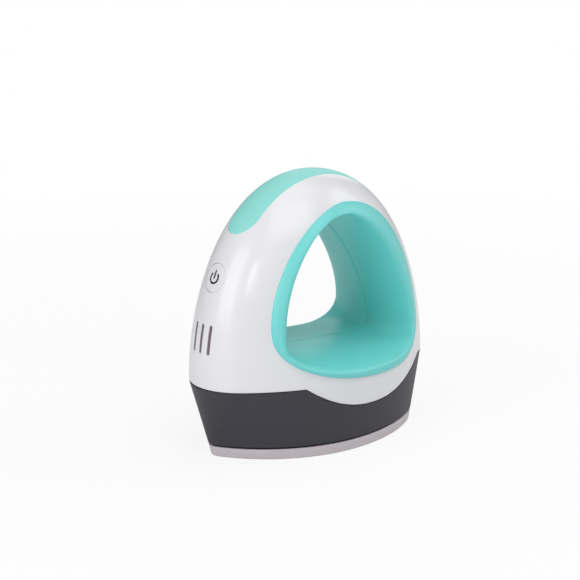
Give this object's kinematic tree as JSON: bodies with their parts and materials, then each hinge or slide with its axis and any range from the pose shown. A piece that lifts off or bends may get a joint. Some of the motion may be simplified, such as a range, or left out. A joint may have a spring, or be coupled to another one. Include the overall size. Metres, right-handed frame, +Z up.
{
  "type": "mini handheld heat press",
  "caption": "Palm-sized craft heat press with a hollow arched body, a lined hand tunnel, a sprung power button and a coated heat plate.",
  "frame": {"origin": "middle of the heat plate's lower face", "axes": "+X from the nose to the tail, +Y across, +Z up from the sole"},
  "size_m": [0.119, 0.0752, 0.1182],
  "materials": {
    "plate_coating": "fine stone-like ceramic non-stick coat on aluminium",
    "element_steel": "heat tinted steel tube",
    "ceramic": "glazed ceramic",
    "bright_steel": "plain rolled sheet",
    "screw_steel": "zinc plated",
    "ceramic_fibre": "soft pressed fibre felt",
    "mica": "layered mica",
    "seal_black": "matt silicone",
    "base_grey": "fine satin moulding texture",
    "shell_white": "glossy moulded",
    "liner_teal": "satin moulded",
    "grip_teal": "soft satin moulded",
    "button_white": "satin moulded",
    "mark_black": "inlaid",
    "switch_black": "moulded",
    "board_green": "solder mask on glass fibre board",
    "led_lens": "diffusing lens",
    "light_bar": "smoked diffusing plastic",
    "relay_blue": "moulded",
    "film_yellow": "dipped",
    "can_sleeve": "shrink sleeve",
    "block_green": "moulded",
    "connector_cream": "moulded",
    "lead_red": "silicone insulation",
    "lead_white": "glass braid insulation",
    "ribbon_grey": "flat cable",
    "gland_grey": "moulded grommet"
  },
  "bodies": {
    "housing": {"heat_plate": "plate_coating", "heating_element": "element_steel", "element_terminals": "ceramic", "element_clamp": "bright_steel", "clamp_screws": "screw_steel", "insulation_blanket": "ceramic_fibre", "heat_shield": "bright_steel", "spacer_washers": "mica", "plate_seal": "seal_black", "base_skirt": "base_grey", "base_screws": "screw_steel", "thermistor": "ceramic", "thermistor_screw": "screw_steel", "thermal_fuse": "ceramic", "fuse_clip": "bright_steel", "fuse_clip_screw": "screw_steel", "outer_shell": "shell_white", "shell_screws": "screw_steel", "liner_front": "liner_teal", "liner_rear": "liner_teal", "grip_strip": "grip_teal", "tact_switch": "switch_black", "button_board": "board_green", "button_board_screws": "screw_steel", "status_leds": "led_lens", "light_guide": "light_bar", "control_board": "board_green", "control_board_screws": "screw_steel", "power_relay": "relay_blue", "film_capacitor": "film_yellow", "electrolytic_capacitor": "can_sleeve", "controller_chip": "switch_black", "buzzer": "switch_black", "terminal_block": "block_green", "panel_connector": "connector_cream", "sensor_connector": "connector_cream", "element_leads": "lead_red", "sensor_lead": "lead_white", "panel_ribbon": "ribbon_grey", "cord_gland": "gland_grey"},
    "button": {"power_button": "button_white", "power_mark": "mark_black", "switch_plunger": "switch_black"}
  },
  "joints": [
    {"name": "power_press", "type": "slide", "parent": "housing", "child": "button", "axis": [0.9336, 0, -0.3584], "range_m": [0, 0.0006], "stiffness_N_per_m": 1500, "springref_m": -0.0003}
  ]
}
